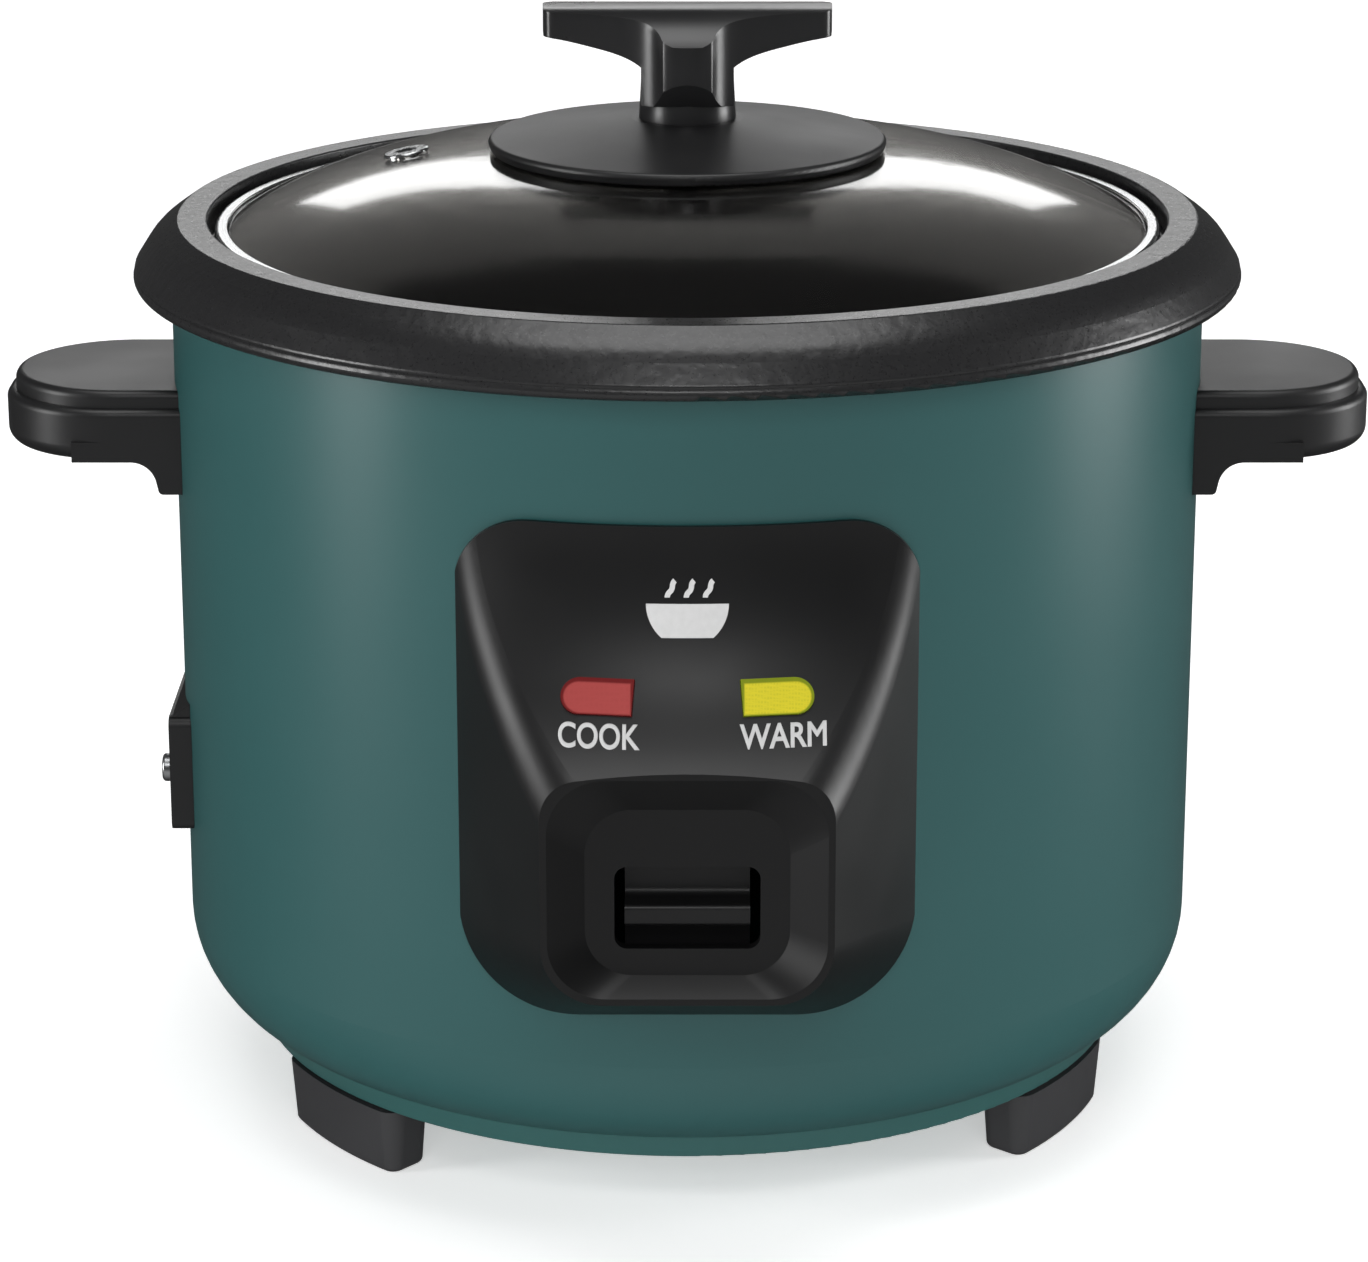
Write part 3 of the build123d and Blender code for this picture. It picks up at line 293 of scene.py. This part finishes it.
def nonstick_pot():
    # Sprayed PTFE non-stick on spun aluminium. Inside and on the rim it is dark grey, with the
    # spray's orange peel 2.4 mm wide and drawn deeper than life, so that it shows. The outside wall
    # and floor are bare satin aluminium, with turning marks also drawn coarser than life. PTFE's own
    # IOR is about 1.35; the coat's is set higher, to match the strength of the rim's sheen.
    material, tree, shader, place = new_material("ptfe_on_spun_aluminium")
    axes = add(tree, "SeparateXYZ", {"Vector": place})
    flat = add(tree, "CombineXYZ", {"X": axes.outputs["X"], "Y": axes.outputs["Y"]})
    radius = add(tree, "VectorMath", {0: flat.outputs["Vector"]}, operation="LENGTH")
    outside = add(
        tree, "Math", {0: radius.outputs["Value"], 1: BARE_WALL_R * MM}, operation="GREATER_THAN"
    )
    floor = add(tree, "Math", {0: axes.outputs["Z"], 1: BARE_FLOOR_TOP * MM}, operation="LESS_THAN")
    wall = add(tree, "Math", {0: axes.outputs["Z"], 1: BARE_WALL_TOP * MM}, operation="LESS_THAN")
    under_skirt = add(
        tree, "Math", {0: radius.outputs["Value"], 1: BARE_WALL_R_MAX * MM}, operation="LESS_THAN"
    )
    bare_wall = add(
        tree, "Math", {0: outside.outputs["Value"], 1: wall.outputs["Value"]}, operation="MULTIPLY"
    )
    bare_wall = add(
        tree, "Math", {0: bare_wall.outputs["Value"], 1: under_skirt.outputs["Value"]},
        operation="MULTIPLY",
    )
    bare = add(
        tree, "Math", {0: bare_wall.outputs["Value"], 1: floor.outputs["Value"]}, operation="MAXIMUM"
    )
    peel = add(
        tree, "TexNoise",
        {"Vector": place, "Scale": 1 / (2.4 * MM), "Detail": 2.0, "Roughness": 0.4},
    )
    fleck = add(tree, "TexNoise", {"Vector": place, "Scale": 1 / (0.5 * MM), "Detail": 1.0})
    coat = add(
        tree, "Mix",
        {"Factor": fleck.outputs["Fac"], "A": linear("#1A1A1B"), "B": linear("#232324")}, data_type="RGBA",
    )
    turning = add(tree, "CombineXYZ", {"X": radius.outputs["Value"], "Z": axes.outputs["Z"]})
    lathe = add(
        tree, "TexNoise", {"Vector": turning.outputs["Vector"], "Scale": 1 / (0.8 * MM), "Detail": 2.0}
    )
    metal = add(
        tree, "Mix",
        {"Factor": lathe.outputs["Fac"], "A": linear("#A9ABAD"), "B": linear("#C6C8C9")}, data_type="RGBA",
    )
    tint = add(
        tree, "Mix",
        {"Factor": bare.outputs["Value"], "A": coat.outputs["Result"], "B": metal.outputs["Result"]},
        data_type="RGBA",
    )
    gloss = add(
        tree, "MapRange",
        {"Value": fleck.outputs["Fac"], "From Min": 0.3, "From Max": 0.7, "To Min": 0.27, "To Max": 0.34},
    )
    relief = add(tree, "Bump", {"Height": peel.outputs["Fac"], "Strength": 1.0, "Distance": 0.10 * MM})
    tree.links.new(tint.outputs["Result"], shader.inputs["Base Color"])
    tree.links.new(bare.outputs["Value"], shader.inputs["Metallic"])
    shader.inputs["IOR"].default_value = 1.58
    tree.links.new(gloss.outputs["Result"], shader.inputs["Roughness"])
    tree.links.new(relief.outputs["Normal"], shader.inputs["Normal"])
    return material


def tempered_glass():
    # Smoke-tinted tempered glass, pressed: faintly wavy. It is rougher than real polished glass,
    # to soften the edges of the lights that it mirrors.
    material, tree, shader, place = new_material("smoked_tempered_glass")
    wave = add(tree, "TexNoise", {"Vector": place, "Scale": 1 / (45 * MM), "Detail": 1.0})
    relief = add(tree, "Bump", {"Height": wave.outputs["Fac"], "Strength": 0.3, "Distance": 0.3 * MM})
    tint = add(
        tree, "Mix",
        {"Factor": wave.outputs["Fac"], "A": linear("#B4B2AE"), "B": linear("#BEBCB8")}, data_type="RGBA",
    )
    tree.links.new(tint.outputs["Result"], shader.inputs["Base Color"])
    tree.links.new(relief.outputs["Normal"], shader.inputs["Normal"])
    shader.inputs["Transmission Weight"].default_value = 1.0
    shader.inputs["Roughness"].default_value = 0.09
    shader.inputs["IOR"].default_value = 1.5
    return material


def spun_stainless():
    # Rolled and polished stainless steel: bright, with fine turning lines 0.3 mm apart.
    material, tree, shader, place = new_material("spun_stainless")
    axes = add(tree, "SeparateXYZ", {"Vector": place})
    flat = add(tree, "CombineXYZ", {"X": axes.outputs["X"], "Y": axes.outputs["Y"]})
    radius = add(tree, "VectorMath", {0: flat.outputs["Vector"]}, operation="LENGTH")
    turning = add(tree, "CombineXYZ", {"X": radius.outputs["Value"], "Z": axes.outputs["Z"]})
    lines = add(
        tree, "TexNoise", {"Vector": turning.outputs["Vector"], "Scale": 1 / (0.3 * MM), "Detail": 1.0}
    )
    tint = add(
        tree, "Mix",
        {"Factor": lines.outputs["Fac"], "A": linear("#B9BBBC"), "B": linear("#D4D5D6")}, data_type="RGBA",
    )
    gloss = add(
        tree, "MapRange",
        {"Value": lines.outputs["Fac"], "From Min": 0.3, "From Max": 0.7, "To Min": 0.16, "To Max": 0.28},
    )
    relief = add(tree, "Bump", {"Height": lines.outputs["Fac"], "Strength": 0.5, "Distance": 0.01 * MM})
    tree.links.new(tint.outputs["Result"], shader.inputs["Base Color"])
    tree.links.new(gloss.outputs["Result"], shader.inputs["Roughness"])
    tree.links.new(relief.outputs["Normal"], shader.inputs["Normal"])
    shader.inputs["Metallic"].default_value = 1.0
    return material


def lamp_window(name, shade, rim_shade, side, prism_mm, depth):
    # Moulded tinted polycarbonate lens: glossy, darker at its edge, with prisms on its back face.
    # A trace of its own light stands for the light that comes back from behind a real lens.
    # `rim` rises to 1 along the edge of the window, which is square inside and round outside.
    material, tree, shader, place = new_material(name)
    half = LENS_HALF_H * MM
    low = half * math.cos(LENS_SLOPE)
    centred = add(
        tree, "Mapping",
        {"Vector": place, "Location": (-LENS_X * MM / half, 0, -LENS_Z * MM / low),
         "Scale": (side / half, 0, 1 / low)},
    )
    axes = add(tree, "SeparateXYZ", {"Vector": centred.outputs["Vector"]})
    past_round = add(tree, "Math", {0: axes.outputs["X"], 1: LENS_STRAIGHT}, operation="SUBTRACT")
    past_round = add(tree, "Math", {0: past_round.outputs["Value"], 1: 0.0}, operation="MAXIMUM")
    outward = add(tree, "CombineXYZ", {"X": past_round.outputs["Value"], "Y": axes.outputs["Z"]})
    outward = add(tree, "VectorMath", {0: outward.outputs["Vector"]}, operation="LENGTH")
    inward = add(
        tree, "Math", {0: axes.outputs["X"], 1: -1.0, 2: -LENS_STRAIGHT}, operation="MULTIPLY_ADD"
    )
    edge = add(
        tree, "Math", {0: outward.outputs["Value"], 1: inward.outputs["Value"]}, operation="MAXIMUM"
    )
    rim = add(
        tree, "MapRange",
        {"Value": edge.outputs["Value"], "From Min": LENS_RIM_FROM, "From Max": LENS_RIM_TO},
        interpolation_type="SMOOTHSTEP",
    )
    prisms = add(
        tree, "TexVoronoi", {"Vector": place, "Scale": 1 / (prism_mm * MM), "Randomness": 0.15},
        distance="CHEBYCHEV",
    )
    lit = add(
        tree, "MapRange", {"Value": prisms.outputs["Distance"], "To Min": 1.0 - depth, "To Max": 1.0}
    )
    core = add(
        tree, "Mix", {"Factor": lit.outputs["Result"], "A": linear(rim_shade), "B": linear(shade)},
        data_type="RGBA",
    )
    tint = add(
        tree, "Mix",
        {"Factor": rim.outputs["Result"], "A": core.outputs["Result"], "B": linear(rim_shade)},
        data_type="RGBA",
    )
    tree.links.new(tint.outputs["Result"], shader.inputs["Base Color"])
    tree.links.new(tint.outputs["Result"], shader.inputs["Emission Color"])
    shader.inputs["Emission Strength"].default_value = 0.10
    shader.inputs["Roughness"].default_value = 0.12
    shader.inputs["IOR"].default_value = 1.58
    return material


def printed_ink():
    # Pad-printed ink: off-white, matt, a little uneven where the plastic's grain shows through.
    return surface("pad_printed_ink", "#D2D2D2", "#C6C6C6", 1.2, 0.5, 0.6, 0.4, 0.003)


def dress(names, material):
    """Gives carried-over nodes a material in place of the plain one they came with."""
    for name in names.split():
        data = nodes[name].data
        for index in range(len(data.materials)):
            data.materials[index] = material


ENAMEL = stove_enamel("teal_stove_enamel", "#235050", "#265454")
# The base plate's enamel is the body's teal paint made a little lighter. This is painted light: it stands
# for the extra light caught by the outward-facing strip under the body.
PAINTED_LIGHT_COVER_ENAMEL = stove_enamel("cover_stove_enamel_painted_light", "#2A5755", "#2D5B59")
BLACK_ABS = moulded_abs("black_moulded_abs", "#141415", "#19191A", 0.40, 0.46)
GRIP_ABS = moulded_abs("black_grip_abs", "#1C1C1D", "#222223", 0.27, 0.32)
PANEL_ABS = moulded_abs("black_panel_abs", "#0A0A0B", "#0F0F10", 0.40, 0.46)
FOOT_ABS = moulded_abs("black_foot_abs", "#303032", "#39393B", 0.30, 0.38)
SCREW_STEEL = sheet_steel("zinc_plated_screw", "#B4B6B8", "#C4C6C8", 0.25)
ZINC_STEEL = sheet_steel("zinc_plated_sheet", "#A5A7A9", "#B4B6B8", 0.35)
SPRING_STEEL = sheet_steel("drawn_spring_wire", "#8C8E91", "#A0A2A5", 0.28)
LINER_ALUMINIUM = sheet_steel("rolled_aluminium", "#B4B6B7", "#C2C4C5", 0.32)
# Die-cast aluminium: grey and matt, with the die's coarse skin.
CAST_ALUMINIUM = surface(
    "die_cast_aluminium", "#9A9C9E", "#AEB0B1", 9.0, 0.38, 0.5, 0.7, 0.03, metallic=1.0
)
# Stamped brass and nickel-plated brass contacts: smooth and fairly bright.
BRASS = surface("stamped_brass", "#C0994A", "#D0AC5C", 4.0, 0.28, 0.38, 0.4, 0.002, metallic=1.0)
NICKEL = surface("nickel_plated_brass", "#BDBBB4", "#CBC9C2", 4.0, 0.2, 0.3, 0.4, 0.002, metallic=1.0)
# Extruded silicone sleeving and moulded silicone rubber: dull, a little chalky.
SLEEVE = surface("silicone_sleeve", "#D9D4C8", "#CFC9BB", 5.0, 0.5, 0.6, 0.6, 0.02, ior=1.41)
RUBBER = surface("silicone_rubber", "#2B2B2C", "#333334", 3.0, 0.55, 0.65, 0.4, 0.01, ior=1.41)
# Mica wound with glass tape: brown, patchy in gloss.
MICA = surface("mica_and_glass_tape", "#B39C70", "#C2AC80", 4.0, 0.4, 0.6, 0.5, 0.02)
# Sintered ferrite: charcoal, dry, with a fine tooth.
FERRITE = surface("sintered_ferrite", "#2F2F31", "#3B3B3D", 2.0, 0.5, 0.65, 0.4, 0.02)
# Phenolic paper circuit board: brown and smooth.
BOARD = surface("phenolic_paper_board", "#8D6B3A", "#9A7744", 3.0, 0.4, 0.5, 0.4, 0.005)
POT = nonstick_pot()
GLASS = tempered_glass()
STAINLESS = spun_stainless()
INK = printed_ink()

dress("outer_shell", ENAMEL)
dress("base_plate", PAINTED_LIGHT_COVER_ENAMEL)
dress("heat_shield", LINER_ALUMINIUM)
dress("foot_front_left foot_front_right foot_back_left foot_back_right", FOOT_ABS)
dress("left_handle right_handle lid_knob lid_disc cook_lever", BLACK_ABS)
dress("control_panel", PANEL_ABS)
dress("inlet_socket microswitch switch_button", BLACK_ABS)
dress("foot_screws base_screws handle_screws panel_screws plate_screws thermostat_screws", SCREW_STEEL)
dress("inlet_screws lid_screw magnet_rod lever_pin", SCREW_STEEL)
dress("lever_bracket lever_arm thermostat_tube plate_posts", ZINC_STEEL)
dress("sensor_spring magnet_spring", SPRING_STEEL)
dress("cook_lamp warm_lamp", GLASS)
dress("lamp_board", BOARD)
dress("switch_contacts heater_terminals", BRASS)
dress("inlet_pins", NICKEL)
dress("heating_plate heating_element sensor_cap", CAST_ALUMINIUM)
dress("keep_warm_heater", MICA)
dress("thermal_fuse wiring", SLEEVE)
dress("sensor_ferrite magnet", FERRITE)
dress("inner_pot", POT)
dress("glass_lid", GLASS)
dress("lid_rim steam_vent", STAINLESS)
dress("lid_washer", RUBBER)
dress("cook_lens", lamp_window("red_polycarbonate", "#A34745", "#641A1B", -1, 0.9, 0.2))
dress("warm_lens", lamp_window("yellow_polycarbonate", "#E2D234", "#76831A", 1, 0.55, 0.45))


# ---------------------------------------------------------------- knob and spring

def softened_knob():
    """The grip with its moulded edges eased, which stands in for the sharp-edged solid."""
    mesh = bmesh.new()
    mesh.from_mesh(nodes["lid_knob"].data)
    bmesh.ops.remove_doubles(mesh, verts=mesh.verts[:], dist=0.005 * MM)
    bmesh.ops.dissolve_limit(
        mesh, angle_limit=math.radians(0.3), verts=mesh.verts[:], edges=mesh.edges[:]
    )
    sharp = [e for e in mesh.edges if len(e.link_faces) == 2 and e.calc_face_angle() > KNOB_SHARP]
    bmesh.ops.bevel(
        mesh, geom=sharp, offset=KNOB_EASE, segments=4, profile=0.5, affect="EDGES", material=-1,
        clamp_overlap=True,
    )
    piece = finished("grip_knob", mesh, GRIP_ABS)
    piece.data.set_sharp_from_angle(angle=math.radians(18))
    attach(piece, "lid")
    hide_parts("lid_knob")


def squashed_spring():
    """The spring above the rod's foot: a coil of round wire, as tall as the part's box."""
    low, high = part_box("magnet_spring")
    rise = high.z - low.z - 2 * WIRE_R
    steps = SPRING_TURNS * STEPS_PER_TURN
    start = Matrix.Translation((high.x - WIRE_R, 0, low.z + WIRE_R))
    mesh = bmesh.new()
    bmesh.ops.create_circle(
        mesh, cap_ends=False, segments=10, radius=WIRE_R,
        matrix=start @ Matrix.Rotation(math.radians(90), 4, "X"),
    )
    bmesh.ops.spin(
        mesh, geom=mesh.verts[:] + mesh.edges[:], cent=(0, 0, 0), axis=(0, 0, 1),
        dvec=(0, 0, rise / steps), angle=math.radians(360 * SPRING_TURNS), steps=steps,
    )
    ends = [e for e in mesh.edges if e.is_boundary]
    bmesh.ops.holes_fill(mesh, edges=ends, sides=0)
    bmesh.ops.recalc_face_normals(mesh, faces=mesh.faces[:])
    piece = finished("coiled_magnet_spring", mesh, SPRING_STEEL)
    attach(piece, "base")
    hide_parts("magnet_spring")
    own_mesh(piece)


softened_knob()
squashed_spring()


# ---------------------------------------------------------------- printing on the panel

panel_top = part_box("control_panel")[1].z


def onto_sweep(mesh, centre_x, centre_z):
    """Wraps flat print onto the panel's swept face, keeping it as seen from the front."""
    for vert in mesh.verts:
        x = centre_x + vert.co.x
        z = centre_z + vert.co.y
        face = SWEEP_AXIS_R - math.sqrt(SWEEP_R ** 2 - (panel_top - z) ** 2)
        radius = face + INK_T * (1 + vert.co.z)
        vert.co = Vector((x, -math.sqrt(radius ** 2 - x ** 2), z))


def cut_into_strips(mesh, step):
    """Cuts flat print into narrow bands, so that it can bend."""
    for axis in (Vector((1, 0, 0)), Vector((0, 1, 0))):
        reach = max((v.co.dot(axis) for v in mesh.verts), default=0)
        place = -reach
        while place < reach:
            bmesh.ops.bisect_plane(
                mesh, geom=mesh.verts[:] + mesh.edges[:] + mesh.faces[:],
                plane_co=axis * place, plane_no=axis,
            )
            place += step


def word(text, centre_x, low_z, high_z, width):
    """A printed word in plain bold capitals."""
    curve = bpy.data.curves.new("print", "FONT")
    curve.body = text
    curve.align_x = "CENTER"
    curve.bevel_depth = LETTER_SWELL
    curve.bevel_resolution = 0
    flat = bpy.data.objects.new("print", curve)
    bpy.context.scene.collection.objects.link(flat)
    bpy.context.view_layer.update()
    data = bpy.data.meshes.new_from_object(flat)
    bpy.data.objects.remove(flat)
    mesh = bmesh.new()
    mesh.from_mesh(data)
    bmesh.ops.remove_doubles(mesh, verts=mesh.verts[:], dist=1e-5)
    low = Vector([min(v.co[i] for v in mesh.verts) for i in range(3)])
    high = Vector([max(v.co[i] for v in mesh.verts) for i in range(3)])
    middle = (low + high) / 2
    bmesh.ops.translate(mesh, vec=-middle, verts=mesh.verts[:])
    bmesh.ops.scale(
        mesh, vec=(width / (high.x - low.x), (high_z - low_z) / (high.y - low.y), 1 / LETTER_SWELL),
        verts=mesh.verts[:],
    )
    cut_into_strips(mesh, STRIP)
    onto_sweep(mesh, centre_x, (low_z + high_z) / 2)
    piece = finished("print_" + text.lower(), mesh, INK)
    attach(piece, "base")


def steam_wisp(x):
    """A curl of steam: a narrow band that bends one way and back."""
    mesh = bmesh.new()
    low = BOWL_TOP + WISP_GAP
    ends = [mesh.verts.new((x + half, low, 0)) for half in (-WISP_W / 2, WISP_W / 2)]
    band = [mesh.edges.new(ends)]
    for side in (1, -1, 1):
        first, last = band[0].verts
        along = (last.co - first.co).normalized()
        centre = (first.co + last.co) / 2 + side * along * WISP_R
        turned = bmesh.ops.spin(
            mesh, geom=band + [first, last], cent=centre, axis=(0, 0, -side), angle=WISP_BEND, steps=6,
        )
        band = [g for g in turned["geom_last"] if isinstance(g, bmesh.types.BMEdge)]
    return mesh


def bowl():
    """A half-round bowl with a level brim and a flat foot."""
    mesh = bmesh.new()
    bmesh.ops.create_circle(mesh, cap_ends=True, segments=64, radius=BOWL_R)
    for cut, outward in ((0, (0, 1, 0)), (-BOWL_FOOT * BOWL_R, (0, -1, 0))):
        bmesh.ops.bisect_plane(
            mesh, geom=mesh.verts[:] + mesh.edges[:] + mesh.faces[:], plane_co=(0, cut, 0),
            plane_no=outward, clear_outer=True,
        )
    bmesh.ops.translate(mesh, vec=(0, BOWL_TOP, 0), verts=mesh.verts[:])
    return mesh


def print_sign(name, meshes, centre_z):
    """Puts a printed sign of several flat shapes on the panel's middle line."""
    whole = bmesh.new()
    for mesh in meshes:
        part = bpy.data.meshes.new("part_of_sign")
        mesh.to_mesh(part)
        mesh.free()
        whole.from_mesh(part)
        bpy.data.meshes.remove(part)
    bmesh.ops.remove_doubles(whole, verts=whole.verts[:], dist=0.01 * MM)
    cut_into_strips(whole, STRIP)
    bmesh.ops.recalc_face_normals(whole, faces=whole.faces[:])
    onto_sweep(whole, 0, centre_z)
    piece = finished(name, whole, INK)
    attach(piece, "base")


print_sign("print_rice_bowl", [bowl()] + [steam_wisp(x * MM) for x in (-3.6, -0.2, 3.2)], SIGN_Z)
word("COOK", -15.7 * MM, 105.1 * MM, 108.9 * MM, 14.6 * MM)
word("WARM", 17.0 * MM, 105.2 * MM, 108.9 * MM, 15.5 * MM)


# ---------------------------------------------------------------- studio and finish

studio()
place_camera()
softbox("left_softbox", (-1.5, -0.45, 0.30), (0, 0, 0.1), 0.45, 0.9, 13)
softbox("right_softbox", (1.6, 0.20, 0.30), (0, 0, 0.1), 0.7, 0.9, 19)
softbox("back_strip", (0, 2.2, 0.85), (0, 0, 0.17), 1.3, 0.36, 4.5)
softbox("high_front_softbox", (0, -1.55, 1.36), (0, 0, 0.1), 0.8, 0.4, 6)
softbox("overhead_softbox", (0, -0.1, 2.2), (0, 0, 0.1), 1.6, 1.2, 20)
softbox("front_fill", (0, -2.3, 0.9), (0, 0, 0.1), 1.8, 1.0, 18, glossy=False)
dim_room()
bpy.context.scene.view_settings.view_transform = "Standard"
